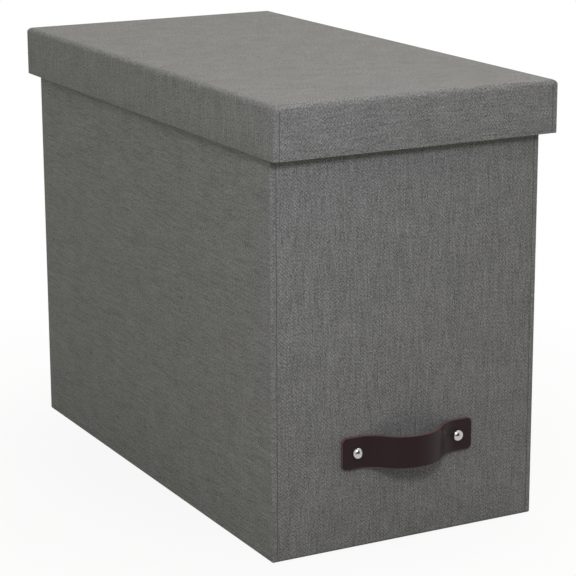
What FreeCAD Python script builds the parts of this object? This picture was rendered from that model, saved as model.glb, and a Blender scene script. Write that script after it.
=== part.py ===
import FreeCAD, Part
import enum
import math
import os
import re
import Sketcher

# Canvas-covered file box with a lift-off lid and a leather pull.
# Millimetres, +Z up, origin at the middle of the underside, the pull on the -Y end.

SIZES = {
    # Base, over its cover; its height runs to the rims of the two long walls
    "base_width": 176.0,
    "base_depth": 333.0,
    "base_height": 262.5,
    "base_edge_radius": 2.0,
    "base_corner_radius": 1.2,
    "board_thickness": 2.5,
    "floor_thickness": 2.5,
    # Covering and lining sheets
    "cover_thickness": 0.4,
    "liner_thickness": 0.3,
    "seam_gap": 0.5,
    "turn_in": 16.0,
    # The end walls stop below the rims, so that folder hooks lie under the lid
    "end_wall_drop": 8.0,
    # Lid
    "lid_skirt_height": 31.0,
    "lid_board_thickness": 2.5,
    "lid_side_clearance": 0.7,
    "lid_hook_room": 8.7,
    "lid_edge_radius": 3.7,
    "lid_corner_radius": 1.2,
    "lid_turn_in": 14.0,
    # Steel channels that the folder hooks hang on
    "rail_thickness": 0.6,
    "rail_leg": 10.0,
    "rail_bend_radius": 1.0,
    "rail_end_clearance": 0.5,
    # Leather strap
    "handle_height": 58.5,
    "strap_length": 87.0,
    "strap_width": 19.0,
    "strap_thickness": 2.4,
    "strap_corner_radius": 3.0,
    "bow_span": 66.0,
    "bow_rise": 14.8,
    "bow_foot_radius": 19.0,
    # Rivets
    "rivet_spacing": 67.5,
    "rivet_cap_diameter": 7.0,
    "rivet_cap_height": 2.7,
    "rivet_cap_rim": 0.4,
    "rivet_post_diameter": 3.2,
    "rivet_socket_depth": 1.0,
    "rivet_flange_diameter": 9.0,
    "rivet_flange_thickness": 0.8,
    # How far a cutting tool runs past what it cuts
    "overrun": 5.0,
}

# Sizes and places that follow from those above, each built on the ones before it
DERIVED = {
    "half_width": "base_width / 2",
    "half_depth": "base_depth / 2",
    "wall": "board_thickness + 2 * cover_thickness",
    "bare_wall": "board_thickness + cover_thickness",
    "lined_wall": "bare_wall + liner_thickness",
    "end_rim": "base_height - end_wall_drop",
    "turn_in_end": "end_rim - turn_in",
    "floor_top": "cover_thickness + floor_thickness",
    "lid_wall": "lid_board_thickness + 2 * cover_thickness",
    "lid_bare_wall": "lid_board_thickness + cover_thickness",
    "lid_half_width": "half_width + lid_side_clearance + lid_wall",
    "lid_half_depth": "half_depth + lid_hook_room + lid_wall",
    "lid_ceiling": "base_height + liner_thickness",
    "lid_top": "lid_ceiling + lid_bare_wall",
    "lid_bottom": "lid_top - lid_skirt_height",
    "lid_turn_in_end": "lid_bottom + lid_turn_in",
    "rail_half_length": "half_width - wall - rail_end_clearance",
    "bow_radius_sum": "((bow_span / 2) ^ 2 + bow_rise ^ 2) / (2 * bow_rise)",
    "bow_crown_radius": "bow_radius_sum - bow_foot_radius",
    "rivet_dome_height": "rivet_cap_height - rivet_cap_rim",
    "rivet_flange_seat": "-(strap_thickness + lined_wall)",
}

doc = FreeCAD.newDocument("FileBox")


def formula(text):
    """Expression for the document, with every named size looked up in its sheet."""
    def cell(match):
        word = match[0]
        if word in SIZES:
            return f"Sizes.{word}"
        return f"Derived.{word}" if word in DERIVED else word
    return re.sub(r"[a-z_]+", cell, text)


def fill_sheet(name, cells):
    """Spreadsheet with one named cell in each row."""
    sheet = doc.addObject("Spreadsheet::Sheet", name)
    for row, (alias, content) in enumerate(cells.items(), start=1):
        sheet.set(f"A{row}", alias)
        sheet.set(f"B{row}", content)
        sheet.setAlias(f"B{row}", alias)
    doc.recompute()
    return sheet


sizes = fill_sheet("Sizes", {alias: str(size) for alias, size in SIZES.items()})
fill_sheet("Derived", {alias: "=" + formula(text) for alias, text in DERIVED.items()})


def number(text):
    """What a formula comes to now."""
    return float(sizes.evalExpression(formula(text)))


# Solids from boxes and booleans


def block(name, x, y, z):
    """Box between two corners; each axis is a pair of formulas, low and high."""
    item = doc.addObject("Part::Box", name)
    for axis, side, (low, high) in zip("xyz", ("Length", "Width", "Height"), (x, y, z)):
        item.setExpression(f"Placement.Base.{axis}", formula(low))
        item.setExpression(side, formula(f"({high}) - ({low})"))
    return item


def common(name, *shapes):
    item = doc.addObject("Part::MultiCommon", name)
    item.Shapes = list(shapes)
    item.Refine = True
    return item


def fuse(name, *shapes):
    item = doc.addObject("Part::MultiFuse", name)
    item.Shapes = list(shapes)
    return item


def cut(name, base, *tools):
    item = doc.addObject("Part::Cut", name)
    item.Base = base
    item.Tool = tools[0] if len(tools) == 1 else fuse(f"{name}_tools", *tools)
    item.Refine = True
    return item


def even(half):
    """Pair of formulas for a stretch that lies evenly about the middle."""
    return f"-({half})", half


def past(low, high):
    """A stretch that runs past both of its ends, for cutting."""
    return f"{low} - overrun", f"{high} + overrun"


# Bodies from sketches

Spot = enum.IntEnum("Spot", "START END CENTRE")
ORIGIN = (-1, Spot.START)


def body_at(name, x="0", y="0", z="0", rotation=FreeCAD.Rotation()):
    body = doc.addObject("PartDesign::Body", name)
    body.Placement = FreeCAD.Placement(FreeCAD.Vector(), rotation)
    for axis, text in zip("xyz", (x, y, z)):
        body.setExpression(f"Placement.Base.{axis}", formula(text))
    return body


def sketch_on(body, role, name, offset="0"):
    """Sketch on one of the body's own origin planes, moved along that plane's normal."""
    sketch = body.newObject("Sketcher::SketchObject", name)
    support = next(item for item in body.Origin.OriginFeatures if item.Role == role)
    sketch.AttachmentSupport = (support, "")
    sketch.MapMode = "FlatFace"
    sketch.setExpression("AttachmentOffset.Base.z", formula(offset))
    return sketch


def dimension(sketch, kind, places, text):
    """Dimension that follows a formula."""
    index = sketch.addConstraint(Sketcher.Constraint(kind, *places, number(text)))
    sketch.setExpression(f"Constraints[{index}]", formula(text))


def hold(sketch, line, end, x, y):
    """Hold one end of a line at two formulas."""
    dimension(sketch, "DistanceX", (*ORIGIN, line, end), x)
    dimension(sketch, "DistanceY", (*ORIGIN, line, end), y)


def point(x, y):
    return FreeCAD.Vector(number(x), number(y), 0)


def outline(sketch, corners):
    """Closed outline of straight lines, with each corner held at its two formulas."""
    points = [point(x, y) for x, y in corners]
    ends = zip(points, points[1:] + points[:1])
    lines = [sketch.addGeometry(Part.LineSegment(here, there)) for here, there in ends]
    for line, following in zip(lines, lines[1:] + lines[:1]):
        sketch.addConstraint(Sketcher.Constraint("Coincident", line, Spot.END, following, Spot.START))
    for line, (x, y) in zip(lines, corners):
        hold(sketch, line, Spot.START, x, y)


def rectangle(sketch, x, y):
    outline(sketch, [(x[0], y[0]), (x[1], y[0]), (x[1], y[1]), (x[0], y[1])])


def pad(body, sketch, name, length):
    feature = body.newObject("PartDesign::Pad", name)
    feature.Profile = sketch
    feature.SideType = "Symmetric"
    feature.setExpression("Length", formula(length))
    doc.recompute()
    return feature


def soften(body, feature, name, radius, wanted):
    """Round the edges of a feature that a test of their two ends picks."""
    picked = []
    for index, edge in enumerate(feature.Shape.Edges, start=1):
        if wanted(edge.Vertexes[0].Point, edge.Vertexes[-1].Point):
            picked.append(f"Edge{index}")
    fillet = body.newObject("PartDesign::Fillet", name)
    fillet.Base = (feature, picked)
    fillet.setExpression("Radius", formula(radius))
    doc.recompute()
    return fillet


SAME_SHARE = 1e-6


def along(axis, at=None, where=0.0):
    """Test for straight edges along one axis, and at one place on a second axis if it is given."""
    def test(one, other):
        step = other - one
        straight = math.isclose(abs(getattr(step, axis)), step.Length, rel_tol=SAME_SHARE)
        placed = at is None or math.isclose(getattr(one, at), where, rel_tol=SAME_SHARE)
        return straight and step.Length > 0 and placed
    return test


def softened_block(name, half_width, half_depth, low, high, edge_radius, corner_radius, round_end):
    """Block with small upright corners, and larger rounds along the four edges of one end."""
    middle = f"(({low}) + ({high})) / 2"
    height = f"(({high}) - ({low}))"
    plan = body_at(f"{name}_plan", z=middle)
    plan_sketch = sketch_on(plan, "XY_Plane", f"{name}_plan_sketch")
    rectangle(plan_sketch, even(half_width), even(half_depth))
    plan_pad = pad(plan, plan_sketch, f"{name}_plan_pad", f"{height} + 2 * overrun")
    soften(plan, plan_pad, f"{name}_plan_corners", corner_radius, along("z"))
    profiles = []
    for view, role, axis, half, run in (
        ("front", "XZ_Plane", "y", half_width, half_depth),
        ("side", "YZ_Plane", "x", half_depth, half_width),
    ):
        profile = body_at(f"{name}_{view}", z=middle)
        sketch = sketch_on(profile, role, f"{name}_{view}_sketch")
        rectangle(sketch, even(half), even(f"{height} / 2"))
        feature = pad(profile, sketch, f"{name}_{view}_pad", f"2 * (({run}) + overrun)")
        end = number(f"{height} / 2") * round_end
        soften(profile, feature, f"{name}_{view}_rounds", edge_radius, along(axis, "z", end))
        profiles.append(profile)
    return common(name, plan, *profiles)


TOP, BOTTOM = 1, -1
SIDES = {"left": -1, "right": 1}
ENDS = {"front": -1, "rear": 1}


def sided(side, low, high):
    """A stretch measured outwards from the middle, laid on the negative or the positive side."""
    return (low, high) if side > 0 else (f"-({high})", f"-({low})")


# Rivet bores, through the strap's seat in the front wall

bores = []
for side_name, side in SIDES.items():
    bore = doc.addObject("Part::Cylinder", f"rivet_bore_{side_name}")
    bore.Placement.Rotation = FreeCAD.Rotation(FreeCAD.Vector(1, 0, 0), 90)
    bore.setExpression("Placement.Base.x", formula(f"{side} * rivet_spacing / 2"))
    bore.setExpression("Placement.Base.y", formula("-half_depth + lined_wall + overrun"))
    bore.setExpression("Placement.Base.z", formula("handle_height"))
    bore.setExpression("Radius", formula("rivet_post_diameter / 2"))
    bore.setExpression("Height", formula("lined_wall + 2 * overrun"))
    bores.append(bore)


def bored_if_front(end_name, piece, outside, zone):
    """Board or sheet of an end wall; the one at the front has the rivet bores."""
    if end_name == "front":
        return cut(f"front_{piece}", common(f"front_{piece}_blank", outside, zone), *bores)
    return common(f"{end_name}_{piece}", outside, zone)


# Base boards: the long walls run the full depth, the end walls and the floor fit between them

base_outside = softened_block(
    "base_outside", "half_width", "half_depth", "0", "base_height",
    "base_edge_radius", "base_corner_radius", BOTTOM)
base_boards_outside = softened_block(
    "base_boards_outside", "half_width - cover_thickness", "half_depth - cover_thickness",
    "cover_thickness", "base_height - cover_thickness",
    "base_edge_radius - cover_thickness", "base_corner_radius - cover_thickness", BOTTOM)

nodes = []
base_boards = []
for side_name, side in SIDES.items():
    zone = block(
        f"{side_name}_board_zone", sided(side, "half_width - bare_wall", "half_width"),
        past(*even("half_depth")), past("0", "base_height"))
    base_boards.append(common(f"{side_name}_board", base_boards_outside, zone))
for end_name, end in ENDS.items():
    zone = block(
        f"{end_name}_board_zone", even("half_width - bare_wall"),
        sided(end, "half_depth - bare_wall", "half_depth"),
        ("-overrun", "end_rim - cover_thickness"))
    base_boards.append(bored_if_front(end_name, "board", base_boards_outside, zone))
base_boards.append(block(
    "bottom_board", even("half_width - bare_wall"), even("half_depth - bare_wall"),
    ("cover_thickness", "floor_top")))
nodes += base_boards

# Base cover: one skin round the boards, over the rims and a little way down inside,
# parted where the sheets meet

base_skin = cut(
    "base_skin", base_outside, *base_boards,
    block("base_mouth", even("half_width - wall"), even("half_depth - wall"),
          ("turn_in_end", "base_height + overrun")),
    block("base_inside", even("half_width - bare_wall"), even("half_depth - bare_wall"),
          ("floor_top", "turn_in_end")),
    block("end_rim_notch", even("half_width - wall"), past(*even("half_depth")),
          ("end_rim", "base_height + overrun")))
for side_name, side in SIDES.items():
    zone = block(
        f"{side_name}_cover_zone", sided(side, "half_width - wall", "half_width + overrun"),
        past(*even("half_depth")), past("0", "base_height"))
    nodes.append(common(f"{side_name}_cover", base_skin, zone))
for end_name, end in ENDS.items():
    zone = block(
        f"{end_name}_cover_zone", even("half_width - wall - seam_gap"),
        sided(end, "half_depth - wall", "half_depth + overrun"), past("0", "base_height"))
    nodes.append(bored_if_front(end_name, "cover", base_skin, zone))
nodes.append(block(
    "bottom_cover", even("half_width - wall - seam_gap"), even("half_depth - wall - seam_gap"),
    ("0", "cover_thickness")))

# Base lining: a sheet on the floor, and a band round the walls up to the turned-in cover

nodes.append(block(
    "floor_liner", even("half_width - bare_wall"), even("half_depth - bare_wall"),
    ("floor_top", "floor_top + liner_thickness")))
nodes.append(cut(
    "wall_liner",
    block("wall_liner_outside", even("half_width - bare_wall"), even("half_depth - bare_wall"),
          ("floor_top + liner_thickness", "turn_in_end")),
    block("wall_liner_inside", even("half_width - lined_wall"), even("half_depth - lined_wall"),
          past("floor_top", "turn_in_end")),
    *bores))

# File rails: a folded channel pressed over each end wall's rim

for end_name, end in ENDS.items():
    rail = body_at(f"{end_name}_file_rail", y=f"{end} * (half_depth - wall / 2)", z="end_rim")
    bar_sketch = sketch_on(rail, "YZ_Plane", f"{end_name}_rail_bar_sketch")
    rectangle(bar_sketch, even("wall / 2 + rail_thickness"), ("-rail_leg", "rail_thickness"))
    bar = pad(rail, bar_sketch, f"{end_name}_rail_bar", "2 * rail_half_length")
    ridge = number("rail_thickness")
    bar = soften(rail, bar, f"{end_name}_rail_bends", "rail_bend_radius", along("x", "z", ridge))
    groove_sketch = sketch_on(rail, "YZ_Plane", f"{end_name}_rail_groove_sketch")
    rectangle(groove_sketch, even("wall / 2"), ("-rail_leg - overrun", "0"))
    groove = rail.newObject("PartDesign::Pocket", f"{end_name}_rail_groove")
    groove.Profile = groove_sketch
    groove.Type = "ThroughAll"
    groove.SideType = "Symmetric"
    nodes.append(rail)

# Handle strap: one strip of leather swept along two flat ends and three tangent arcs

strap = body_at("handle_strap", y="-half_depth", z="handle_height")
path = sketch_on(strap, "XY_Plane", "strap_path")
flat = "-strap_thickness / 2"
foot = f"{flat} - bow_foot_radius"
crown = f"{flat} - bow_rise + bow_crown_radius"
lean = math.atan2(number("bow_radius_sum - bow_rise"), number("bow_span / 2"))


def arc(x, y, radius, start, end):
    circle = Part.Circle(point(x, y), FreeCAD.Vector(0, 0, 1), number(radius))
    return path.addGeometry(Part.ArcOfCircle(circle, start, end))


def straight(start, end):
    return path.addGeometry(Part.LineSegment(point(start, flat), point(end, flat)))


left_flat = straight("-strap_length / 2", "-bow_span / 2")
left_foot = arc("-bow_span / 2", foot, "bow_foot_radius", lean, math.pi / 2)
bow = arc("0", crown, "bow_crown_radius", lean - math.pi, -lean)
right_foot = arc("bow_span / 2", foot, "bow_foot_radius", math.pi / 2, math.pi - lean)
right_flat = straight("bow_span / 2", "strap_length / 2")
for one, one_end, other, other_end in (
    (left_flat, Spot.END, left_foot, Spot.END),
    (left_foot, Spot.START, bow, Spot.START),
    (bow, Spot.END, right_foot, Spot.END),
    (right_foot, Spot.START, right_flat, Spot.START),
):
    path.addConstraint(Sketcher.Constraint("Tangent", one, one_end, other, other_end))
hold(path, left_flat, Spot.START, "-strap_length / 2", flat)
hold(path, left_flat, Spot.END, "-bow_span / 2", flat)
hold(path, right_flat, Spot.START, "bow_span / 2", flat)
hold(path, right_flat, Spot.END, "strap_length / 2", flat)
for curve in (left_foot, right_foot):
    dimension(path, "Radius", (curve,), "bow_foot_radius")
dimension(path, "Radius", (bow,), "bow_crown_radius")

section = sketch_on(strap, "YZ_Plane", "strap_section", "-strap_length / 2")
rectangle(section, ("-strap_thickness", "0"), even("strap_width / 2"))
sweep = strap.newObject("PartDesign::AdditivePipe", "strap_sweep")
sweep.Profile = section
sweep.Spine = (path, [""])
doc.recompute()
strip = soften(strap, sweep, "strap_corners", "strap_corner_radius", along("y"))


def rivet_circles(name, diameter, offset="0"):
    """Sketch with a circle round the axis of each rivet."""
    circles = sketch_on(strap, "XZ_Plane", name, offset)
    for side in SIDES.values():
        centre = point(f"{side} * rivet_spacing / 2", "0")
        ring = Part.Circle(centre, FreeCAD.Vector(0, 0, 1), number(f"{diameter} / 2"))
        circle = circles.addGeometry(ring)
        hold(circles, circle, Spot.CENTRE, f"{side} * rivet_spacing / 2", "0")
        dimension(circles, "Diameter", (circle,), diameter)
    return circles


# The bow's feet reach under the caps, which press them flat
seats_sketch = rivet_circles("strap_seats_sketch", "rivet_cap_diameter", "strap_thickness")
seats = strap.newObject("PartDesign::Pocket", "strap_seats")
seats.Profile = seats_sketch
seats.Reversed = True
seats.setExpression("Length", formula("overrun"))
holes_sketch = rivet_circles("strap_holes_sketch", "rivet_post_diameter")
holes = strap.newObject("PartDesign::Pocket", "strap_holes")
holes.Profile = holes_sketch
holes.Type = "ThroughAll"
holes.SideType = "Symmetric"
doc.recompute()
nodes.append(strap)

# Rivets: a domed cap over the strap, on a post whose flange bears on the lining

caps, posts = [], []
for side_name, side in SIDES.items():
    place = dict(
        x=f"{side} * rivet_spacing / 2", y="-half_depth - strap_thickness", z="handle_height",
        rotation=FreeCAD.Rotation(FreeCAD.Vector(1, 0, 0), 90))
    post = body_at(f"{side_name}_rivet_post", **place)
    post_sketch = sketch_on(post, "XZ_Plane", f"{side_name}_rivet_post_sketch")
    flange_bottom = "rivet_flange_seat - rivet_flange_thickness"
    outline(post_sketch, [
        ("0", flange_bottom),
        ("rivet_flange_diameter / 2", flange_bottom),
        ("rivet_flange_diameter / 2", "rivet_flange_seat"),
        ("rivet_post_diameter / 2", "rivet_flange_seat"),
        ("rivet_post_diameter / 2", "rivet_socket_depth"),
        ("0", "rivet_socket_depth"),
    ])
    turned = post.newObject("PartDesign::Revolution", f"{side_name}_rivet_post_turned")
    turned.Profile = post_sketch
    turned.ReferenceAxis = (post_sketch, ["V_Axis"])
    posts.append(post)

    cap = body_at(f"{side_name}_rivet_cap", **place)
    cap_sketch = sketch_on(cap, "XZ_Plane", f"{side_name}_rivet_cap_sketch")
    corners = [
        ("0", "rivet_cap_height"),
        ("0", "rivet_socket_depth"),
        ("rivet_post_diameter / 2", "rivet_socket_depth"),
        ("rivet_post_diameter / 2", "0"),
        ("rivet_cap_diameter / 2", "0"),
        ("rivet_cap_diameter / 2", "rivet_cap_rim"),
    ]
    lines = []
    for here, there in zip(corners, corners[1:]):
        lines.append(cap_sketch.addGeometry(Part.LineSegment(point(*here), point(*there))))
        hold(cap_sketch, lines[-1], Spot.START, *here)
    hold(cap_sketch, lines[-1], Spot.END, *corners[-1])
    for line, following in zip(lines, lines[1:]):
        cap_sketch.addConstraint(Sketcher.Constraint("Coincident", line, Spot.END, following, Spot.START))
    dome_radius = "((rivet_cap_diameter / 2) ^ 2 + rivet_dome_height ^ 2) / (2 * rivet_dome_height)"
    dome_centre = point("0", f"rivet_cap_height - {dome_radius}")
    dome_circle = Part.Circle(dome_centre, FreeCAD.Vector(0, 0, 1), number(dome_radius))
    dome_start = math.asin(1 - number("rivet_dome_height") / number(dome_radius))
    dome = cap_sketch.addGeometry(Part.ArcOfCircle(dome_circle, dome_start, math.pi / 2))
    cap_sketch.addConstraint(Sketcher.Constraint("Coincident", dome, Spot.START, lines[-1], Spot.END))
    cap_sketch.addConstraint(Sketcher.Constraint("Coincident", dome, Spot.END, lines[0], Spot.START))
    dimension(cap_sketch, "DistanceX", (*ORIGIN, dome, Spot.CENTRE), "0")
    turned = cap.newObject("PartDesign::Revolution", f"{side_name}_rivet_cap_turned")
    turned.Profile = cap_sketch
    turned.ReferenceAxis = (cap_sketch, ["V_Axis"])
    caps.append(cap)
for name, pair in (("handle_rivet_caps", caps), ("handle_rivet_posts", posts)):
    group = doc.addObject("Part::Compound", name)
    group.Links = pair
    nodes.append(group)

# Lid boards: a top, two long skirts, and two end skirts between them

lid_outside = softened_block(
    "lid_outside", "lid_half_width", "lid_half_depth", "lid_bottom", "lid_top",
    "lid_edge_radius", "lid_corner_radius", TOP)
lid_boards_outside = softened_block(
    "lid_boards_outside", "lid_half_width - cover_thickness", "lid_half_depth - cover_thickness",
    "lid_bottom + cover_thickness", "lid_top - cover_thickness",
    "lid_edge_radius - cover_thickness", "lid_corner_radius - cover_thickness", TOP)
lid_boards = [common(
    "lid_top_board", lid_boards_outside,
    block("lid_top_board_zone", past(*even("lid_half_width")), past(*even("lid_half_depth")),
          ("lid_ceiling", "lid_top")))]
for side_name, side in SIDES.items():
    zone = block(
        f"lid_{side_name}_board_zone", sided(side, "lid_half_width - lid_bare_wall", "lid_half_width"),
        past(*even("lid_half_depth")), ("lid_bottom", "lid_ceiling"))
    lid_boards.append(common(f"lid_{side_name}_board", lid_boards_outside, zone))
for end_name, end in ENDS.items():
    zone = block(
        f"lid_{end_name}_board_zone", even("lid_half_width - lid_bare_wall"),
        sided(end, "lid_half_depth - lid_bare_wall", "lid_half_depth"), ("lid_bottom", "lid_ceiling"))
    lid_boards.append(common(f"lid_{end_name}_board", lid_boards_outside, zone))
nodes += lid_boards

# Lid cover: one sheet over the top, the skirts and their lower edges, slit beside each corner
# where the end flap is folded down over the side flap

slits = []
for side_name, side in SIDES.items():
    slits.append(block(
        f"lid_{side_name}_seams",
        sided(side, "lid_half_width - lid_wall - seam_gap", "lid_half_width - lid_wall"),
        past(*even("lid_half_depth")), ("lid_bottom - overrun", "lid_top - lid_edge_radius")))
lid_hollow = [
    block("lid_mouth", even("lid_half_width - lid_wall"), even("lid_half_depth - lid_wall"),
          ("lid_bottom - overrun", "lid_turn_in_end")),
    block("lid_inside", even("lid_half_width - lid_bare_wall"), even("lid_half_depth - lid_bare_wall"),
          ("lid_turn_in_end", "lid_ceiling")),
]
nodes.append(cut("lid_cover", lid_outside, *lid_boards, *lid_hollow, *slits))

# Lid lining: a shallow tray under the top, down to the turned-in cover

nodes.append(cut(
    "lid_liner",
    block("lid_liner_outside", even("lid_half_width - lid_bare_wall"),
          even("lid_half_depth - lid_bare_wall"), ("lid_turn_in_end", "lid_ceiling")),
    block("lid_liner_inside", even("lid_half_width - lid_bare_wall - liner_thickness"),
          even("lid_half_depth - lid_bare_wall - liner_thickness"),
          ("lid_turn_in_end - overrun", "base_height"))))

doc.recompute()
for item in doc.Objects:
    if {"Invalid", "Error"} & set(item.State):
        raise RuntimeError(f"{item.Label} did not compute: {item.State}")
for node in nodes:
    if node.Shape.isNull() or not node.Shape.isValid():
        raise RuntimeError(f"{node.Label} has no valid shape")
if holes.Shape.Volume >= strip.Shape.Volume:
    raise RuntimeError("the rivet holes miss the strap")

os.makedirs("parts", exist_ok=True)
for node in nodes:
    node.Shape.exportStep(f"parts/{node.Label}.step")
    print(node.Label, len(node.Shape.Solids), round(node.Shape.Volume, 1))
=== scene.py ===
"""Dresses a hanging file box: canvas over board, a leather pull on two rivets, paper lining, steel rails."""

import math
from typing import NamedTuple

import bmesh
import bpy
from bpy.props import FloatProperty, FloatVectorProperty, PointerProperty
from mathutils import Matrix, Vector, noise


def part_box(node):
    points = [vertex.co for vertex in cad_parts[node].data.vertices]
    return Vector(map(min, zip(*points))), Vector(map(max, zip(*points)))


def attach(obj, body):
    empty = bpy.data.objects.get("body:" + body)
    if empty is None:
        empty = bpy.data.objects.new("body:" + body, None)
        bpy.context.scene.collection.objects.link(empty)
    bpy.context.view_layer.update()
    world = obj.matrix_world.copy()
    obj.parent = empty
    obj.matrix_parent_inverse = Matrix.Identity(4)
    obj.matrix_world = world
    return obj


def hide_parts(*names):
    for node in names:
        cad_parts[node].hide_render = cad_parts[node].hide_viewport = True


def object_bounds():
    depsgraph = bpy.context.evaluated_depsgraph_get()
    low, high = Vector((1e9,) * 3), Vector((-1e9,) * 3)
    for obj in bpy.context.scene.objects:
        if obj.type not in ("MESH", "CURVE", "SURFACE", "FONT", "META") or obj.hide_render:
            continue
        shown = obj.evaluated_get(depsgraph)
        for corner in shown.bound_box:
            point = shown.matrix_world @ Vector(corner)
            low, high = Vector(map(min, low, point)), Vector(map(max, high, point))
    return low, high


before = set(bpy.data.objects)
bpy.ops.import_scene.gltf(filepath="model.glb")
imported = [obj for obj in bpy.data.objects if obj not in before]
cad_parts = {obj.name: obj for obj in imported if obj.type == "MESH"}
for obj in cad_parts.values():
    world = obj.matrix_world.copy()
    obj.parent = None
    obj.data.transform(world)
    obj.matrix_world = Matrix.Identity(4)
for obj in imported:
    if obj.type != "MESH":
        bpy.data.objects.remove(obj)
cad_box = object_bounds()

bl_info = {
    "name": "Hanging File Box",
    "version": (1, 0, 0),
    "blender": (4, 5, 0),
    "location": "View3D > Sidebar > File Box",
    "description": "Covers, lining, pull, rails and stage of a canvas hanging file box",
    "category": "Object",
}

# Corners of the wrapped box, the lid, the pull and its rivets, from the frame
BASE_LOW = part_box("left_cover")[0]
BASE_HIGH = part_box("right_cover")[1]
LID_LOW, LID_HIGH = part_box("lid_cover")
STRAP_LOW, STRAP_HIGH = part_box("handle_strap")
CAPS_LOW, CAPS_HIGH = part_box("handle_rivet_caps")
BOX_MIDDLE = (cad_box[0] + cad_box[1]) / 2

# How close two points or two faces must be to count as one
WELD = 1e-6
TOUCH = 1e-5
FLAT_ANGLE = math.radians(0.3)
SHARP_ANGLE = math.radians(30)

WEAVE_MAP = "weave"
EDGE_MARK = "raw_edge"
# Axes by number: across, deep and up
AXES = range(3)
DEEP, UP = 1, 2

# How far out of true each sheet is laid, in shares of the lay error
WALL_TURNS = {"front": 0.4, "rear": -0.7, "left": 0.6, "right": -0.3, "bottom": 1.0}
LID_TURN = -0.5

# The twill: each upright yarn goes over two crossing yarns and under one
TWILL_REPEAT = 3.0
TWILL_UNDER = 1.0
# Height of each yarn at its lowest, and how much higher it climbs; it sets the relief and the painted shade
# between the yarns
WARP_LOW = 0.55
WEFT_LOW = 0.35
YARN_CLIMB = 0.45
# Steps through the noise from one yarn to the next, so wide that neighbours differ
WARP_STRIDE = 7.31
WEFT_STRIDE = 9.17
WEFT_LAYER = 40.0
# What each of the four neighbours takes off the tone of a crossing, and the mean that is left
NEIGHBOUR_SHARE = 0.125
CROSSING_MEAN = 0.5 * (1 - 4 * NEIGHBOUR_SHARE)

# Share of the strap's rounded rim that is dyed like its grain side; the rest is raw
DYED_RIM_SHARE = 0.3
# A rivet cap's foot as a share of its radius, and how deep in its dimple the cap has its full radius
CAP_FOOT_SHARE = 0.94
CAP_LIP_SHARE = 0.4

# Sockets of the Mix node when it mixes colours
MIX_FACTOR, MIX_FIRST, MIX_SECOND, MIX_RESULT = 0, 6, 7, 2


class Lamp(NamedTuple):
    """A round softbox that looks at the middle of the box: metres, watts and a linear colour."""

    where: tuple
    size: float
    power: float
    tint: tuple


LAMPS = {
    "top_softbox": Lamp(where=(0.45, 0.08, 1.48), size=1.0, power=13.1, tint=(1.0, 0.962, 0.932)),
    "front_softbox": Lamp(where=(-0.25, -0.64, 0.46), size=0.11, power=1.95, tint=(0.882, 0.877, 1.0)),
}

# Corners of the dark flag beside the camera, as the rivets see it: degrees round from the front, degrees up
FLAG_CORNERS = ((-45, -11), (27, -11), (27, 34), (-45, -3))


def length(name, description, default):
    """A length that a user may change, in metres."""
    return FloatProperty(name=name, description=description, default=default, unit="LENGTH", precision=5)


def share(name, description, default):
    """A plain share, mostly between nought and one."""
    return FloatProperty(name=name, description=description, default=default, subtype="FACTOR")


def angle(name, description, degrees):
    """An angle, written in degrees and kept in radians."""
    return FloatProperty(name=name, description=description, default=math.radians(degrees), subtype="ANGLE")


def colour(name, description, default):
    """A linear colour."""
    return FloatVectorProperty(
        name=name, description=description, default=default, subtype="COLOR", min=0, max=1)


def place(name, description, default):
    """A point in the box's own frame, in metres."""
    return FloatVectorProperty(name=name, description=description, default=default, subtype="TRANSLATION")


class CanvasSettings(bpy.types.PropertyGroup):
    """The woven canvas that wraps the base and the lid."""

    yarn_pitch: length("Yarn Pitch", "Distance from one yarn to the next", 0.00072)
    yarn_relief: length("Yarn Relief", "How far the yarns stand out of the cloth", 0.00012)
    yarn_drift: length("Yarn Drift", "How far a yarn wanders from its straight line", 0.00016)
    drift_size: length("Drift Size", "Length over which a yarn wanders", 0.006)
    warp_fleck: length("Warp Fleck", "Length over which an upright yarn keeps its tone", 0.018)
    weft_fleck: length("Weft Fleck", "Length over which a crossing yarn keeps its tone", 0.012)
    tone_contrast: share("Tone Contrast", "How far one yarn's tone is from the next one's", 0.70)
    crossing_contrast: share("Crossing Contrast", "How far one crossing's tone is from the next one's", 0.45)
    # Painted shade and highlight: the cloth's colour is darkened where the yarns sink and lightened where
    # they stand up
    painted_weave_shade: share("Weave Depth", "How dark the cloth is between its yarns", 0.30)
    # Patches where that painted shade and highlight between the yarns is stronger
    shade_patch_size: length("Patch Size", "Size of the patches where the twill shows more", 0.012)
    fuzz_size: length("Fuzz Size", "Size of the uneven spots in the cloth's nap", 0.0015)
    fuzz_contrast: share("Fuzz Contrast", "How far the spots stand out", 0.42)
    mottle_size: length("Mottle Size", "Size of the cloudy patches in the dye", 0.020)
    mottle_contrast: share("Mottle Contrast", "How far the cloudy patches stand out", 0.26)
    warp_light: colour("Warp Light", "Pale fibres of the upright yarns", (0.300, 0.297, 0.290))
    warp_dark: colour("Warp Dark", "Dark fibres of the upright yarns", (0.044, 0.0435, 0.0425))
    weft_light: colour("Weft Light", "Pale fibres of the crossing yarns", (0.256, 0.253, 0.247))
    weft_dark: colour("Weft Dark", "Dark fibres of the crossing yarns", (0.036, 0.0355, 0.0347))
    unevenness: length("Unevenness", "How far the glued cloth swells off flat", 0.00012)
    swell_size: length("Swell Size", "Distance from one swelling of the cloth to the next", 0.06)
    grid_step: length("Grid Step", "Spacing of the cuts that let the flats swell", 0.012)
    edge_softness: length("Edge Softness", "Rounding of the cut edges of the cloth", 0.0001)
    lay_error: angle("Lay Error", "How far out of true a sheet may be laid", 0.5)


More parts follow.
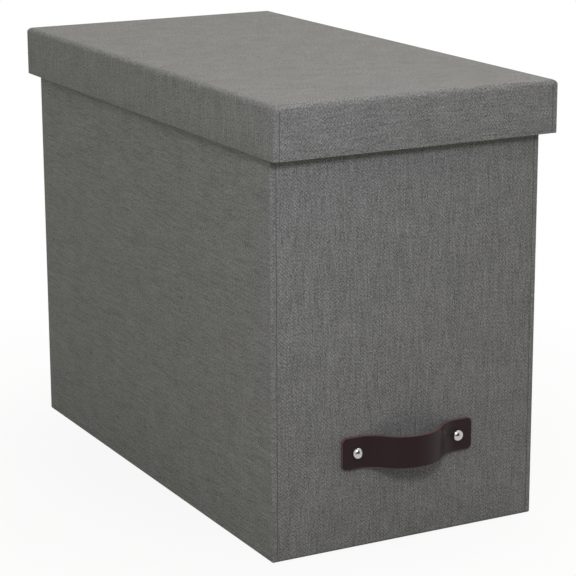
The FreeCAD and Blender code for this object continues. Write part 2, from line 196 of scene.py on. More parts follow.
class LiningSettings(bpy.types.PropertyGroup):
    """The lining paper inside, and the board under cloth and paper."""

    paper_colour: colour("Paper", "Uncoated lining paper", (0.62, 0.60, 0.55))
    fibre_colour: colour("Fibres", "Fine fibres in the paper", (0.47, 0.44, 0.38))
    fibre_size: length("Fibre Size", "Length of the fibres in the paper", 0.0025)
    cloud_size: length("Cloud Size", "Size of the pale and dark patches in the paper", 0.05)
    tooth_size: length("Tooth Size", "Size of the paper's tooth", 0.0005)
    paper_relief: length("Paper Relief", "Height of the paper's tooth", 0.00006)
    board_colour: colour("Board", "Raw solid board", (0.20, 0.19, 0.175))
    board_speck: colour("Board Specks", "Darker scraps in the board", (0.11, 0.105, 0.095))
    board_grain: length("Board Grain", "Size of the scraps in the board", 0.0018)
    board_relief: length("Board Relief", "Height of the scraps in the board", 0.0001)


class PullSettings(bpy.types.PropertyGroup):
    """The leather pull on the front and its two rivets."""

    strap_thickness: length("Strap Thickness", "Thickness of the leather", 0.0024)
    bow_span: length("Bow Span", "Length of the bowed stretch", 0.066)
    bow_foot_radius: length("Bow Foot Radius", "Bend at each foot of the bow", 0.0190)
    corner_radius: length("Corner Radius", "Rounding of the strap's four corners", 0.0030)
    edge_radius: length("Edge Radius", "Rounding of the burnished edges", 0.0005)
    slice_step: length("Slice Step", "Spacing of the cuts that let the strap bend", 0.001)
    dimple_depth: length("Dimple Depth", "How far the rivets press into the leather", 0.00025)
    dimple_radius: length("Dimple Radius", "Reach of the dimple round a rivet", 0.0050)
    leather_colour: colour("Leather", "Dyed grain side", (0.0192, 0.0101, 0.0117))
    leather_worn: colour("Rubbed Leather", "Where the dye is thinner", (0.0268, 0.0125, 0.0136))
    edge_colour: colour("Raw Edge", "Cut edge of the leather", (0.120, 0.070, 0.066))
    grain_size: length("Grain Size", "Size of the leather's pores", 0.0006)
    grain_relief: length("Grain Relief", "Depth of the leather's pores", 0.00004)
    rub_size: length("Rub Size", "Size of the rubbed patches", 0.014)
    fibre_size: length("Fibre Size", "Size of the fibres in the cut edge", 0.0005)
    nickel_colour: colour("Nickel", "Polished nickel plate", (0.52, 0.51, 0.49))
    scratch_size: length("Scratch Size", "Spacing of the fine scratches in the nickel", 0.0004)
    scratch_relief: length("Scratch Relief", "Depth of the fine scratches", 0.000004)
    film_size: length("Film Size", "Size of the patches in the nickel's shine", 0.003)
    rim_height: length("Rim Height", "Upright rim under the rivet's dome", 0.0004)


class RailSettings(bpy.types.PropertyGroup):
    """The bent steel rails that carry the hanging files."""

    steel_colour: colour("Steel", "Satin zinc plate", (0.36, 0.36, 0.37))
    brush_size: length("Brush Size", "Spacing of the brushed lines", 0.00025)
    brush_length: length("Brush Length", "Length of the brushed lines", 0.020)
    brush_relief: length("Brush Relief", "Depth of the brushed lines", 0.00001)
    bloom_size: length("Bloom Size", "Size of the cloudy patches in the zinc", 0.012)
    edge_softness: length("Edge Softness", "Rounding of the sheared edges", 0.00012)


class StageSettings(bpy.types.PropertyGroup):
    """Floor, dark flag, even light and camera."""

    floor_colour: colour("Floor", "Plain pale floor", (0.50, 0.49, 0.455))
    floor_radius: length("Floor Radius", "Reach of the floor", 0.46)
    floor_white: share("Floor White", "How far the floor by the box is seen as plain white", 0.90)
    shadow_reach: length("Shadow Reach", "Distance over which the floor turns to plain white", 0.36)
    shadow_start: share("Shadow Start", "Where that turning starts, as a share of the reach", 0.25)
    sky_level: share("Sky Level", "Strength of the even light all round", 0.645)
    sky_tint: colour("Sky Tint", "Colour of the even light all round", (0.980, 1.0, 0.903))
    flag_colour: colour("Flag", "Black felt of the flag that the rivets mirror", (0.02, 0.02, 0.02))
    flag_distance: length("Flag Distance", "From the rivets to the flag", 1.5)
    camera_azimuth: angle("Camera Azimuth", "Turn of the camera round the box", -28.027)
    camera_elevation: angle("Camera Elevation", "Height of the camera above the floor line", 14.530)
    camera_roll: angle("Camera Roll", "Tilt of the camera about its own line of sight", -0.216)
    camera_distance: length("Camera Distance", "From the aim point to the camera", 1.389814)
    camera_lens: FloatProperty(name="Lens", description="Focal length in millimetres", default=136.291)
    camera_aim: place("Camera Aim", "Point that the camera turns round", (0.0, 0.0, 0.130))
    camera_right: length("Camera Right", "How far the camera stands right of the aim point", 0.010153)
    camera_up: length("Camera Up", "How far the camera stands above the aim point", -0.015962)


class Wire:
    """A socket of a finish that can stand in a sum. Each sum adds its own Math node."""

    def __init__(self, finish, socket):
        self.finish = finish
        self.socket = socket

    def math(self, operation, *values):
        return self.finish.node("ShaderNodeMath", {"operation": operation}, dict(enumerate(values)))

    def __add__(self, other):
        return self.math("ADD", self, other)

    def __radd__(self, other):
        return self.math("ADD", other, self)

    def __sub__(self, other):
        return self.math("SUBTRACT", self, other)

    def __rsub__(self, other):
        return self.math("SUBTRACT", other, self)

    def __mul__(self, other):
        return self.math("MULTIPLY", self, other)

    def __rmul__(self, other):
        return self.math("MULTIPLY", other, self)

    def __truediv__(self, other):
        return self.math("DIVIDE", self, other)

    def __rtruediv__(self, other):
        return self.math("DIVIDE", other, self)

    def __mod__(self, other):
        return self.math("FLOORED_MODULO", self, other)

    def __gt__(self, other):
        return self.math("GREATER_THAN", self, other)

    def __pow__(self, other):
        return self.math("POWER", self, other)

    def floor(self):
        return self.math("FLOOR", self)

    def cosine(self):
        return self.math("COSINE", self)

    def sine(self):
        return self.math("SINE", self)

    def larger(self, other):
        return self.math("MAXIMUM", self, other)

    def clamped(self):
        return self.math("MINIMUM", self.math("MAXIMUM", self, 0.0), 1.0)


class Finish:
    """The node tree of a material or a world, filled one node at a time."""

    def __init__(self, owner):
        owner.use_nodes = True
        self.owner = owner
        self.tree = owner.node_tree
        self.tree.nodes.clear()

    def node(self, kind, settings=None, sockets=None, out=0):
        """Add a node: its settings first, then the values or links of its sockets."""
        made = self.tree.nodes.new(kind)
        for name, value in (settings or {}).items():
            setattr(made, name, value)
        for name, value in (sockets or {}).items():
            if isinstance(value, Wire):
                self.tree.links.new(value.socket, made.inputs[name])
            else:
                made.inputs[name].default_value = value
        return Wire(self, made.outputs[out]) if made.outputs else made

    def mix(self, factor, first, second):
        """One colour over another."""
        sockets = {MIX_FACTOR: factor, MIX_FIRST: rgba(first), MIX_SECOND: rgba(second)}
        return self.node("ShaderNodeMix", {"data_type": "RGBA"}, sockets, MIX_RESULT)

    def shade(self, tint, amount):
        """A colour made darker or lighter by a plain amount."""
        grey = self.node("ShaderNodeCombineColor", None, {"Red": amount, "Green": amount, "Blue": amount})
        settings = {"data_type": "RGBA", "blend_type": "MULTIPLY"}
        sockets = {MIX_FACTOR: 1.0, MIX_FIRST: rgba(tint), MIX_SECOND: grey}
        return self.node("ShaderNodeMix", settings, sockets, MIX_RESULT)

    def vector(self, operation, first, second):
        """Two vectors joined by an operation."""
        return self.node("ShaderNodeVectorMath", {"operation": operation}, {0: first, 1: second})

    def parts(self, vector):
        """The three parts of a vector."""
        split = self.node("ShaderNodeSeparateXYZ", None, {"Vector": vector})
        return [Wire(self, socket) for socket in split.socket.node.outputs]

    def point(self, x, y, z=0.0):
        return self.node("ShaderNodeCombineXYZ", None, {"X": x, "Y": y, "Z": z})

    def cloud(self, where, size, detail=2.0, roughness=0.5, out="Fac"):
        """Soft noise with patches of about the given size."""
        sockets = {"Vector": where, "Scale": 1.0 / size, "Detail": detail, "Roughness": roughness}
        return self.node("ShaderNodeTexNoise", None, sockets, out)

    def relief(self, height, distance, strength):
        """A Bump node from a height."""
        sockets = {"Height": height, "Distance": distance, "Strength": strength}
        return self.node("ShaderNodeBump", None, sockets)

    def surface(self, shader):
        owner = "World" if isinstance(self.owner, bpy.types.World) else "Material"
        self.node(f"ShaderNodeOutput{owner}", None, {"Surface": shader})

    def principled(self, sockets):
        self.surface(self.node("ShaderNodeBsdfPrincipled", None, sockets))


def rgba(tint):
    """A colour as a socket wants it; a wire passes through."""
    return tint if isinstance(tint, Wire) else (*tint, 1.0)


def finish_named(name, fill):
    """The material of that name, filled by the given function the first time."""
    material = bpy.data.materials.get(name)
    if material is None:
        material = bpy.data.materials.new(name)
        fill(Finish(material))
    return material


def spread(tone, gain):
    """Noise pulled apart round its middle, which is a half."""
    return ((tone - 0.5) * gain + 0.5).clamped()


def ranged(tone, low, high):
    """A tone between nought and one, laid out from a low value to a high one."""
    return low + (high - low) * tone


def lively(finish, column, row):
    """Noise at each crossing less half that of its neighbours, so that light and dark lie side by side."""
    def noise_at(x, y):
        sockets = {"Vector": finish.point(x, y)}
        return finish.node("ShaderNodeTexWhiteNoise", {"noise_dimensions": "2D"}, sockets)

    beside = noise_at(column - 1, row) + noise_at(column + 1, row)
    beside = beside + noise_at(column, row - 1) + noise_at(column, row + 1)
    return noise_at(column, row) - NEIGHBOUR_SHARE * beside - CROSSING_MEAN


def canvas_weave(finish):
    """A fine twill: flecked upright yarns over two and under one, darker crossing yarns, all in relief, with
    painted shade where the yarns sink and painted highlight where they stand up.
    """
    cloth = bpy.context.scene.file_box_canvas
    laid = finish.node("ShaderNodeUVMap", {"uv_map": WEAVE_MAP})
    wander = finish.cloud(laid, cloth.drift_size, detail=1.0, out="Color")
    wander = finish.vector("SUBTRACT", wander, (0.5, 0.5, 0.5))
    wander = finish.vector("MULTIPLY", wander, (2 * cloth.yarn_drift, 2 * cloth.yarn_drift, 0.0))
    across, along, _ = finish.parts(finish.vector("ADD", laid, wander))

    warp = across / cloth.yarn_pitch
    weft = along / cloth.yarn_pitch
    warp_number = warp.floor()
    weft_number = weft.floor()
    warp_side = warp - warp_number - 0.5
    weft_side = weft - weft_number - 0.5
    step = (weft + warp_number) % TWILL_REPEAT
    warp_over = step > TWILL_UNDER

    warp_round = (warp_side * math.pi).cosine()
    weft_round = (weft_side * math.pi).cosine()
    arch = ((step - TWILL_UNDER) * (math.pi / (TWILL_REPEAT - TWILL_UNDER))).sine()
    warp_rise = warp_round * (WARP_LOW + YARN_CLIMB * arch)
    weft_rise = weft_round * (WEFT_LOW + YARN_CLIMB * warp_round)
    rise = weft_rise + warp_over * (warp_rise - weft_rise)

    warp_spot = finish.point(warp_number * WARP_STRIDE, along / cloth.warp_fleck)
    weft_spot = finish.point(across / cloth.weft_fleck, weft_number * WEFT_STRIDE, WEFT_LAYER)
    warp_tone = finish.cloud(warp_spot, 1.0, detail=1.0)
    weft_tone = finish.cloud(weft_spot, 1.0, detail=1.0)
    crossing = cloth.crossing_contrast * lively(finish, warp_number, weft_number)
    warp_tone = 0.5 + cloth.tone_contrast * (warp_tone - 0.5) + crossing
    weft_tone = 0.5 + cloth.tone_contrast * (weft_tone - 0.5) + crossing
    warp_tint = finish.mix(warp_tone, cloth.warp_dark, cloth.warp_light)
    weft_tint = finish.mix(weft_tone, cloth.weft_dark, cloth.weft_light)
    yarn = finish.mix(warp_over, weft_tint, warp_tint)

    shade_patch = spread(finish.cloud(laid, cloth.shade_patch_size), gain=2.0)
    mottle = finish.cloud(laid, cloth.mottle_size, detail=3.0)
    fuzz = finish.cloud(laid, cloth.fuzz_size)
    # Painted shade and highlight: darker where the yarns sink, lighter on their tops, more so in the shade
    # patches; the dye mottle and the nap fuzz are the cloth's own tone
    shade = 1.0 + cloth.painted_weave_shade * shade_patch * (rise - 0.5)
    shade = shade * (1.0 + cloth.mottle_contrast * (mottle - 0.5))
    shade = shade * (1.0 + cloth.fuzz_contrast * (fuzz - 0.5))
    finish.principled({
        "Base Color": finish.shade(yarn, shade),
        "Roughness": 0.92,
        "Specular IOR Level": 0.12,
        "Sheen Weight": 0.05,
        "Normal": finish.relief(rise, cloth.yarn_relief, strength=0.7),
    })


def lining_paper(finish):
    """Uncoated paper: pale, with fine fibres and a faint tooth."""
    lining = bpy.context.scene.file_box_lining
    here = finish.node("ShaderNodeTexCoord", out="Object")
    fibres = finish.cloud(here, lining.fibre_size, detail=4.0, roughness=0.7)
    clouds = finish.cloud(here, lining.cloud_size)
    tooth = finish.cloud(here, lining.tooth_size)
    fibre_amount = ranged(spread(fibres, gain=2.0), 0.0, 0.6)
    tint = finish.mix(fibre_amount, lining.paper_colour, lining.fibre_colour)
    finish.principled({
        "Base Color": finish.shade(tint, ranged(clouds, 0.92, 1.06)),
        "Roughness": 0.88,
        "Specular IOR Level": 0.2,
        "Normal": finish.relief(tooth + fibres, lining.paper_relief, strength=0.6),
    })


def raw_fibreboard(finish):
    """Solid board of pressed scraps."""
    lining = bpy.context.scene.file_box_lining
    here = finish.node("ShaderNodeTexCoord", out="Object")
    scraps = finish.cloud(here, lining.board_grain, detail=5.0, roughness=0.65)
    finish.principled({
        "Base Color": finish.mix(spread(scraps, gain=2.2), lining.board_speck, lining.board_colour),
        "Roughness": 0.9,
        "Specular IOR Level": 0.2,
        "Normal": finish.relief(scraps, lining.board_relief, strength=0.6),
    })


def zinc_plate(finish):
    """Satin zinc on bent steel, brushed along the rail."""
    rail = bpy.context.scene.file_box_rails
    x, y, z = finish.parts(finish.node("ShaderNodeTexCoord", out="Object"))
    brushed = finish.point(x / rail.brush_length, y / rail.brush_size, z / rail.brush_size)
    lines = finish.cloud(brushed, 1.0, detail=3.0)
    bloom = finish.cloud(finish.point(x, y, z), rail.bloom_size, detail=3.0)
    finish.principled({
        "Base Color": finish.shade(rail.steel_colour, ranged(bloom, 0.70, 1.00) + ranged(lines, 0.0, 0.30)),
        "Metallic": 1.0,
        "Roughness": ranged(lines, 0.34, 0.50) + ranged(bloom, 0.0, 0.08),
        "Normal": finish.relief(lines, rail.brush_relief, strength=0.5),
    })


def dyed_leather(finish):
    """Smooth dyed leather with fine pores, rubbed patches and pale cut edges."""
    pull = bpy.context.scene.file_box_pull
    here = finish.node("ShaderNodeTexCoord", out="Object")
    edge = finish.node("ShaderNodeAttribute", {"attribute_name": EDGE_MARK}, out="Fac")
    sockets = {"Vector": here, "Scale": 1 / pull.grain_size}
    pores = finish.node("ShaderNodeTexVoronoi", {"feature": "F1"}, sockets)
    rubbed = finish.cloud(here, pull.rub_size, detail=4.0)
    fibre = finish.cloud(here, pull.fibre_size, detail=3.0)
    grain_side = finish.mix(spread(rubbed, gain=1.8), pull.leather_colour, pull.leather_worn)
    cut_side = finish.shade(pull.edge_colour, ranged(fibre, 0.6, 1.4))
    height = pores * (1 - edge) + fibre * edge
    finish.principled({
        "Base Color": finish.mix(edge, grain_side, cut_side),
        "Roughness": ranged(rubbed, 0.36, 0.48) + ranged(edge, 0.0, 0.30),
        "Specular IOR Level": 0.13,
        "Normal": finish.relief(height, pull.grain_relief, strength=0.5),
    })


def polished_nickel(finish):
    """Bright nickel plate with hairline scratches."""
    pull = bpy.context.scene.file_box_pull
    here = finish.node("ShaderNodeTexCoord", out="Object")
    hair = finish.cloud(here, pull.scratch_size, detail=4.0, roughness=0.7)
    film = finish.cloud(here, pull.film_size)
    finish.principled({
        "Base Color": finish.shade(pull.nickel_colour, ranged(film, 0.92, 1.04)),
        "Metallic": 1.0,
        "Roughness": ranged(film, 0.16, 0.24) + ranged(hair, 0.0, 0.05),
        "Normal": finish.relief(hair, pull.scratch_relief, strength=0.4),
    })


def copied_sheet(node, softness):
    """A fresh mesh of a CAD node, its flats whole again and its sharp edges eased."""
    sheet = bmesh.new()
    sheet.from_mesh(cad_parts[node].data)
    bmesh.ops.remove_doubles(sheet, verts=sheet.verts, dist=WELD)
    bmesh.ops.dissolve_limit(sheet, angle_limit=FLAT_ANGLE, verts=sheet.verts, edges=sheet.edges)
    sharp = [edge for edge in sheet.edges if edge.is_manifold and edge.calc_face_angle() > SHARP_ANGLE]
    bmesh.ops.bevel(
        sheet, geom=sharp, offset=softness, segments=2, profile=0.5, affect="EDGES", clamp_overlap=True)
    return sheet


def cut_in_slices(sheet, axis, step, low, high):
    """Cut a mesh across one axis at an even step."""
    count = max(1, round((high - low) / step))
    normal = Vector()
    normal[axis] = 1.0
    for number in range(1, count):
        middle = Vector()
        middle[axis] = low + (high - low) * number / count
        everything = [*sheet.verts, *sheet.edges, *sheet.faces]
        bmesh.ops.bisect_plane(sheet, geom=everything, dist=WELD, plane_co=middle, plane_no=normal)


def make_uneven(sheet, low, high):
    """Let the flats of a wrapped box swell a little, dying out towards its edges."""
    cloth = bpy.context.scene.file_box_canvas
    for axis in AXES:
        cut_in_slices(sheet, axis, cloth.grid_step, low[axis], high[axis])
    for vert in sheet.verts:
        for axis in AXES:
            outward = (vert.co[axis] > high[axis] - TOUCH) - (vert.co[axis] < low[axis] + TOUCH)
            if axis == UP and outward < 0:
                continue
            inset = min(min(vert.co[k] - low[k], high[k] - vert.co[k]) for k in AXES if k != axis)
            ease = min(1.0, max(0.0, inset / cloth.grid_step - 1.0))
            swell = noise.noise(vert.co / cloth.swell_size)
            vert.co[axis] += outward * ease * swell * cloth.unevenness


def lay_weave(sheet, turn, crosswise=()):
    """Lay the weave on every face as it is seen from outside, a shade out of true as a hand-cut sheet is.

    On faces square to a crosswise axis the warp runs from side to side instead of upright."""
    weave = sheet.loops.layers.uv.new(WEAVE_MAP)
    sheet.normal_update()
    for face in sheet.faces:
        axis = max(AXES, key=lambda k: abs(face.normal[k]))
        turned = Matrix.Rotation(turn + (math.pi / 2 if axis in crosswise else 0.0), 2)
        side = math.copysign(1.0, face.normal[axis])
        right = (Vector((0, side, 0)), Vector((-side, 0, 0)), Vector((1, 0, 0)))[axis]
        up = (Vector((0, 0, 1)), Vector((0, 0, 1)), Vector((0, side, 0)))[axis]
        for loop in face.loops:
            loop[weave].uv = turned @ Vector((loop.vert.co.dot(right), loop.vert.co.dot(up)))


def put_out(sheet, name, body, material, slot, *nodes):
    """Turn a mesh into a named piece that rides on a body and stands for its CAD nodes."""
    mesh = bpy.data.meshes.new(name)
    sheet.to_mesh(mesh)
    sheet.free()
    mesh.materials.append(material)
    mesh.shade_smooth()
    mesh.set_sharp_from_angle(angle=SHARP_ANGLE)
    piece = bpy.data.objects.new(name, mesh)
    bpy.context.scene.collection.objects.link(piece)
    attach(piece, body)
    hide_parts(*nodes)
    return piece


def refinish(material, *nodes):
    """Give CAD nodes a better finish where their shape is right."""
    for node in nodes:
        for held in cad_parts[node].material_slots:
            held.material = material


class FILEBOX_OT_base_covers(bpy.types.Operator):
    """Wrap the base in canvas: four wall sheets and the sheet underneath"""

    bl_idname = "file_box.base_covers"
    bl_label = "Base Covers"

    def execute(self, context):
        cloth = context.scene.file_box_canvas
        canvas = finish_named("canvas_weave", canvas_weave)
        for wall, turn in WALL_TURNS.items():
            sheet = copied_sheet(f"{wall}_cover", cloth.edge_softness)
            make_uneven(sheet, BASE_LOW, BASE_HIGH)
            lay_weave(sheet, turn * cloth.lay_error, AXES if wall in ("left", "right") else ())
            put_out(sheet, f"{wall}_cloth", "base", canvas, "grey_canvas", f"{wall}_cover")
        return {"FINISHED"}


class FILEBOX_OT_lid_cover(bpy.types.Operator):
    """Wrap the lid in canvas"""

    bl_idname = "file_box.lid_cover"
    bl_label = "Lid Cover"

    def execute(self, context):
        cloth = context.scene.file_box_canvas
        sheet = copied_sheet("lid_cover", cloth.edge_softness)
        make_uneven(sheet, LID_LOW, LID_HIGH)
        lay_weave(sheet, LID_TURN * cloth.lay_error, (DEEP, UP))
        canvas = finish_named("canvas_weave", canvas_weave)
        put_out(sheet, "lid_cloth", "lid", canvas, "grey_canvas", "lid_cover")
        return {"FINISHED"}


class FILEBOX_OT_boards_and_linings(bpy.types.Operator):
    """Finish the boards under the cloth and the paper inside"""

    bl_idname = "file_box.boards_and_linings"
    bl_label = "Boards and Linings"

    def execute(self, context):
        walls = [f"{wall}_board" for wall in ("front", "rear", "left", "right")]
        board = finish_named("raw_fibreboard", raw_fibreboard)
        refinish(board, "bottom_board", "lid_top_board", *walls, *(f"lid_{wall}" for wall in walls))
        paper = finish_named("uncoated_lining_paper", lining_paper)
        refinish(paper, "floor_liner", "wall_liner", "lid_liner")
        return {"FINISHED"}


class FILEBOX_OT_file_rails(bpy.types.Operator):
    """Copy the two bent rails for hanging files over the short walls, with eased edges and a zinc finish"""

    bl_idname = "file_box.file_rails"
    bl_label = "File Rails"

    def execute(self, context):
        softness = context.scene.file_box_rails.edge_softness
        zinc = finish_named("zinc_plate", zinc_plate)
        for wall in ("front", "rear"):
            sheet = copied_sheet(f"{wall}_file_rail", softness)
            put_out(sheet, f"{wall}_rail_steel", "base", zinc, "plated_steel", f"{wall}_file_rail")
        return {"FINISHED"}


class Bow:
    """Middle line of the pull from its centre outwards: a crown arc, a tighter foot arc, then flat."""

    def __init__(self, half_span, rise, foot_radius):
        self.half_span = half_span
        self.rise = rise
        self.turn = 2 * math.atan(rise / half_span)
        self.foot_radius = foot_radius
        self.crown_radius = half_span / math.sin(self.turn) - foot_radius
        self.crown_length = self.crown_radius * self.turn
        self.half_length = self.crown_length + foot_radius * self.turn

    def at(self, reach):
        """Place along the wall, offset from the seat and slope angle, at a reach along the strap."""
        far = abs(reach)
        side = math.copysign(1.0, reach)
        if far <= self.crown_length:
            turn = far / self.crown_radius
            along = self.crown_radius * math.sin(turn)
            return side * along, self.rise - self.crown_radius * (1 - math.cos(turn)), -side * turn
        if far <= self.half_length:
            turn = (self.half_length - far) / self.foot_radius
            along = self.half_span - self.foot_radius * math.sin(turn)
            return side * along, self.foot_radius * (1 - math.cos(turn)), -side * turn
        return side * (self.half_span + far - self.half_length), 0.0, 0.0


class FILEBOX_OT_handle_strap(bpy.types.Operator):
    """Cut the leather pull flat, ease its edges, press the rivet dimples and bow it"""

    bl_idname = "file_box.handle_strap"
    bl_label = "Handle Strap"

    def execute(self, context):
        pull = context.scene.file_box_pull
        half_span = pull.bow_span / 2
        rise = STRAP_HIGH.y - STRAP_LOW.y - pull.strap_thickness
        bow = Bow(half_span, rise, pull.bow_foot_radius)
        half_length = (STRAP_HIGH.x - STRAP_LOW.x) / 2 - half_span + bow.half_length
        half_width = (STRAP_HIGH.z - STRAP_LOW.z) / 2
        strap = self.flat_strap(pull, half_length, half_width)
        rivet_reach = half_length - (STRAP_HIGH.x - CAPS_HIGH.x) - (CAPS_HIGH.z - CAPS_LOW.z) / 2
        mark = strap.verts.layers.float.new(EDGE_MARK)
        top = pull.strap_thickness / 2
        middle = (STRAP_LOW + STRAP_HIGH) / 2
        for vert in strap.verts:
            reach, up, lift = vert.co
            vert[mark] = 1.0 if abs(lift) < top - pull.edge_radius * DYED_RIM_SHARE else 0.0
            from_rivet = math.hypot(abs(reach) - rivet_reach, up)
            if lift > 0:
                lift -= pull.dimple_depth * math.exp(-(from_rivet / pull.dimple_radius) ** 2)
            x, off, slope = bow.at(reach)
            x -= lift * math.sin(slope)
            off += lift * math.cos(slope)
            vert.co = (middle.x + x, STRAP_HIGH.y - top - off, middle.z + up)
        leather = finish_named("dyed_leather", dyed_leather)
        bmesh.ops.recalc_face_normals(strap, faces=strap.faces)
        put_out(strap, "strap_leather", "base", leather, "brown_leather", "handle_strap")
        return {"FINISHED"}

    def flat_strap(self, pull, half_length, half_width):
        """The strap before it is bowed: rounded corners, burnished edges, cut in slices."""
        strap = bmesh.new()
        corners = []
        steps = 8
        for quarter in range(4):
            side_x = (1, -1, -1, 1)[quarter]
            side_y = (1, 1, -1, -1)[quarter]
            for step in range(steps + 1):
                turn = (quarter + step / steps) * math.pi / 2
                x = side_x * (half_length - pull.corner_radius) + pull.corner_radius * math.cos(turn)
                y = side_y * (half_width - pull.corner_radius) + pull.corner_radius * math.sin(turn)
                corners.append(strap.verts.new((x, y, -pull.strap_thickness / 2)))
        bottom = strap.faces.new(corners)
        raised = bmesh.ops.extrude_face_region(strap, geom=[bottom])["geom"]
        lifted = [part for part in raised if isinstance(part, bmesh.types.BMVert)]
        bmesh.ops.translate(strap, verts=lifted, vec=(0, 0, pull.strap_thickness))
        bmesh.ops.recalc_face_normals(strap, faces=strap.faces)
        rims = [edge for edge in strap.edges if edge.calc_face_angle() > SHARP_ANGLE]
        bmesh.ops.bevel(strap, geom=rims, offset=pull.edge_radius, segments=4, profile=0.5, affect="EDGES")
        cut_in_slices(strap, 0, pull.slice_step, -half_length, half_length)
        cut_in_slices(strap, 1, 2 * pull.slice_step, -half_width, half_width)
        return strap


class FILEBOX_OT_handle_rivets(bpy.types.Operator):
    """Turn the two domed rivet caps and finish their posts"""

    bl_idname = "file_box.handle_rivets"
    bl_label = "Handle Rivets"

    def execute(self, context):
        pull = context.scene.file_box_pull
        nickel = finish_named("polished_nickel", polished_nickel)
        radius = (CAPS_HIGH.z - CAPS_LOW.z) / 2
        height = (CAPS_HIGH.z + CAPS_LOW.z) / 2
        caps = bmesh.new()
        for x in (CAPS_LOW.x + radius, CAPS_HIGH.x - radius):
            self.turn_cap(caps, Vector((x, CAPS_HIGH.y, height)), radius, CAPS_HIGH.y - CAPS_LOW.y, pull)
        put_out(caps, "rivet_domes", "base", nickel, "bright_nickel", "handle_rivet_caps")
        refinish(nickel, "handle_rivet_posts")
        return {"FINISHED"}

    def turn_cap(self, caps, seat, radius, height, pull):
        """One cap: an upright rim sunk into its dimple, rolled over into a dome."""
        rings = 14
        around = 64
        dome = height - pull.rim_height
        profile = [
            (radius * CAP_FOOT_SHARE, -pull.dimple_depth),
            (radius, -pull.dimple_depth * CAP_LIP_SHARE),
            (radius, pull.rim_height),
        ]
        for ring in range(1, rings):
            turn = ring / rings * math.pi / 2
            profile.append((radius * math.cos(turn), pull.rim_height + dome * math.sin(turn)))
        loops = []
        for wide, out in profile:
            turns = (math.tau * number / around for number in range(around))
            spots = (seat + Vector((wide * math.cos(t), -out, wide * math.sin(t))) for t in turns)
            loops.append([caps.verts.new(spot) for spot in spots])
        peak = caps.verts.new(seat + Vector((0, -height, 0)))
        for near, far in zip(loops, loops[1:]):
            for number in range(around):
                after = (number + 1) % around
                caps.faces.new((near[number], near[after], far[after], far[number]))
        for number in range(around):
            caps.faces.new((loops[-1][number], loops[-1][(number + 1) % around], peak))
        caps.faces.new(reversed(loops[0]))
        bmesh.ops.recalc_face_normals(caps, faces=caps.faces)


def seen_ray(finish):
    """One where the camera, a reflection or a see-through ray looks, and nought where light is gathered."""
    path = finish.node("ShaderNodeLightPath", out="Is Camera Ray").socket.node
    rays = ("Camera", "Glossy", "Transmission")
    camera, glossy, through = (Wire(finish, path.outputs[f"Is {ray} Ray"]) for ray in rays)
    return camera.larger(glossy).larger(through)


def studio_floor(finish):
    """Pale floor that keeps the shadow near the box and turns to plain white further out."""
    stage = bpy.context.scene.file_box_stage
    x, y, _ = finish.parts(finish.node("ShaderNodeTexCoord", out="Object"))
    far = ((x * x + y * y) ** 0.5 / stage.shadow_reach - stage.shadow_start).clamped()
    pale = finish.node("ShaderNodeBsdfDiffuse", None, {"Color": rgba(stage.floor_colour)})
    white = finish.node("ShaderNodeEmission", None, {"Color": rgba((1, 1, 1)), "Strength": 1.0})
    amount = seen_ray(finish) * ranged(far, stage.floor_white, 1.0)
    finish.surface(finish.node("ShaderNodeMixShader", None, {0: amount, 1: pale, 2: white}))


def black_felt(finish):
    """Dull black of the flag."""
    tint = bpy.context.scene.file_box_stage.flag_colour
    finish.surface(finish.node("ShaderNodeBsdfDiffuse", None, {"Color": rgba(tint)}))


def compass(azimuth, elevation):
    """Unit vector towards an azimuth, measured from the front of the box, and an elevation."""
    level = math.cos(elevation)
    return Vector((math.sin(azimuth) * level, -math.cos(azimuth) * level, math.sin(elevation)))


def studio_sky(finish):
    """Even light all round, seen as plain white by the camera and in reflections."""
    stage = bpy.context.scene.file_box_stage
    even = {"Color": rgba(stage.sky_tint), "Strength": stage.sky_level}
    light = finish.node("ShaderNodeBackground", None, even)
    white = finish.node("ShaderNodeBackground", None, {"Color": rgba((1, 1, 1)), "Strength": 1.0})
    finish.surface(finish.node("ShaderNodeMixShader", None, {0: seen_ray(finish), 1: light, 2: white}))


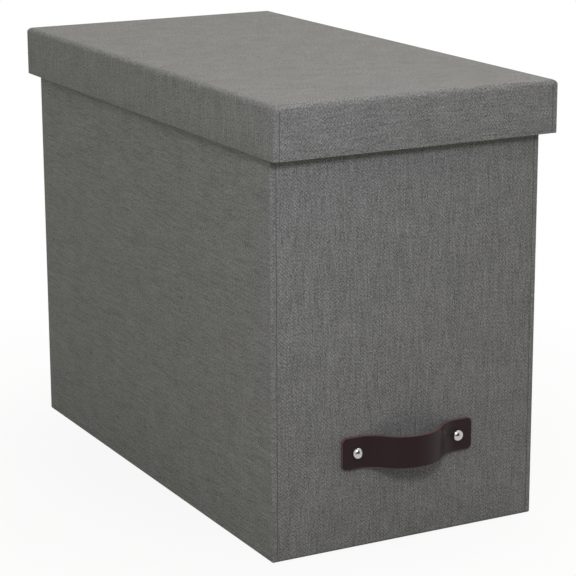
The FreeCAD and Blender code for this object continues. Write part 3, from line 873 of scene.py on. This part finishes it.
class FILEBOX_OT_stage(bpy.types.Operator):
    """Set the floor, the dark flag, the lamps, the light all round and the camera"""

    bl_idname = "file_box.stage"
    bl_label = "Stage"

    def execute(self, context):
        stage = context.scene.file_box_stage
        self.lay_floor(stage)
        self.stand_flag(stage)
        for name, lamp in LAMPS.items():
            self.hang_lamp(name, lamp)
        sky = bpy.data.worlds.new("studio_sky")
        studio_sky(Finish(sky))
        context.scene.world = sky
        self.stand_camera(context.scene, stage)
        context.scene.view_settings.view_transform = "Standard"
        return {"FINISHED"}

    def lay_floor(self, stage):
        ground = bmesh.new()
        bmesh.ops.create_circle(ground, cap_ends=True, segments=96, radius=stage.floor_radius)
        self.put_on_stage(ground, "studio_floor", studio_floor).location.z = cad_box[0].z

    def stand_flag(self, stage):
        """A dark card beside the camera, hidden from it as the lamps are, which the rivets mirror."""
        rivets = (CAPS_LOW + CAPS_HIGH) / 2
        card = bmesh.new()
        ways = (compass(math.radians(turn), math.radians(rise)) for turn, rise in FLAG_CORNERS)
        card.faces.new([card.verts.new(rivets + stage.flag_distance * way) for way in ways])
        self.put_on_stage(card, "dark_flag", black_felt).visible_camera = False

    def put_on_stage(self, sheet, name, fill):
        mesh = bpy.data.meshes.new(name)
        sheet.to_mesh(mesh)
        sheet.free()
        mesh.materials.append(finish_named(name, fill))
        plate = bpy.data.objects.new(name, mesh)
        bpy.context.scene.collection.objects.link(plate)
        return plate

    def hang_lamp(self, name, lamp):
        light = bpy.data.lights.new(name, "AREA")
        light.shape = "DISK"
        light.size = lamp.size
        light.energy = lamp.power
        light.color = lamp.tint
        holder = bpy.data.objects.new(name, light)
        holder.location = lamp.where
        holder.rotation_euler = (BOX_MIDDLE - Vector(lamp.where)).to_track_quat("-Z", "Y").to_euler()
        holder.visible_camera = False
        bpy.context.scene.collection.objects.link(holder)

    def stand_camera(self, scene, stage):
        turn = stage.camera_azimuth
        rise = stage.camera_elevation
        back = compass(turn, rise)
        level = Vector((math.cos(turn), math.sin(turn), 0.0))
        plumb = back.cross(level)
        right = level * math.cos(stage.camera_roll) + plumb * math.sin(stage.camera_roll)
        up = plumb * math.cos(stage.camera_roll) - level * math.sin(stage.camera_roll)
        where = Vector(stage.camera_aim) + back * stage.camera_distance
        where += right * stage.camera_right + up * stage.camera_up
        lens = bpy.data.cameras.new("studio_camera")
        lens.lens = stage.camera_lens
        camera = bpy.data.objects.new("studio_camera", lens)
        camera.matrix_world = Matrix.Translation(where) @ Matrix((right, up, back)).transposed().to_4x4()
        scene.collection.objects.link(camera)
        scene.camera = camera


SETTINGS = {
    "file_box_canvas": CanvasSettings,
    "file_box_lining": LiningSettings,
    "file_box_pull": PullSettings,
    "file_box_rails": RailSettings,
    "file_box_stage": StageSettings,
}
STEPS = (
    FILEBOX_OT_base_covers,
    FILEBOX_OT_lid_cover,
    FILEBOX_OT_boards_and_linings,
    FILEBOX_OT_file_rails,
    FILEBOX_OT_handle_strap,
    FILEBOX_OT_handle_rivets,
    FILEBOX_OT_stage,
)


class FILEBOX_PT_panel(bpy.types.Panel):
    """Lists the steps that dress the file box, and the sizes and colours they use"""

    bl_idname = "FILEBOX_PT_panel"
    bl_label = "File Box"
    bl_space_type = "VIEW_3D"
    bl_region_type = "UI"
    bl_category = "File Box"

    def draw(self, context):
        for step in STEPS:
            self.layout.operator(step.bl_idname)
        for group, kind in SETTINGS.items():
            box = self.layout.box()
            for value in kind.__annotations__:
                box.prop(getattr(context.scene, group), value)


def register():
    for group, kind in SETTINGS.items():
        bpy.utils.register_class(kind)
        setattr(bpy.types.Scene, group, PointerProperty(type=kind))
    for kind in (*STEPS, FILEBOX_PT_panel):
        bpy.utils.register_class(kind)


def unregister():
    for kind in (FILEBOX_PT_panel, *reversed(STEPS)):
        bpy.utils.unregister_class(kind)
    for group, kind in reversed(SETTINGS.items()):
        delattr(bpy.types.Scene, group)
        bpy.utils.unregister_class(kind)


def main():
    register()
    bpy.ops.file_box.base_covers()
    bpy.ops.file_box.lid_cover()
    bpy.ops.file_box.boards_and_linings()
    bpy.ops.file_box.file_rails()
    bpy.ops.file_box.handle_strap()
    bpy.ops.file_box.handle_rivets()
    bpy.ops.file_box.stage()


if __name__ == "__main__":
    main()
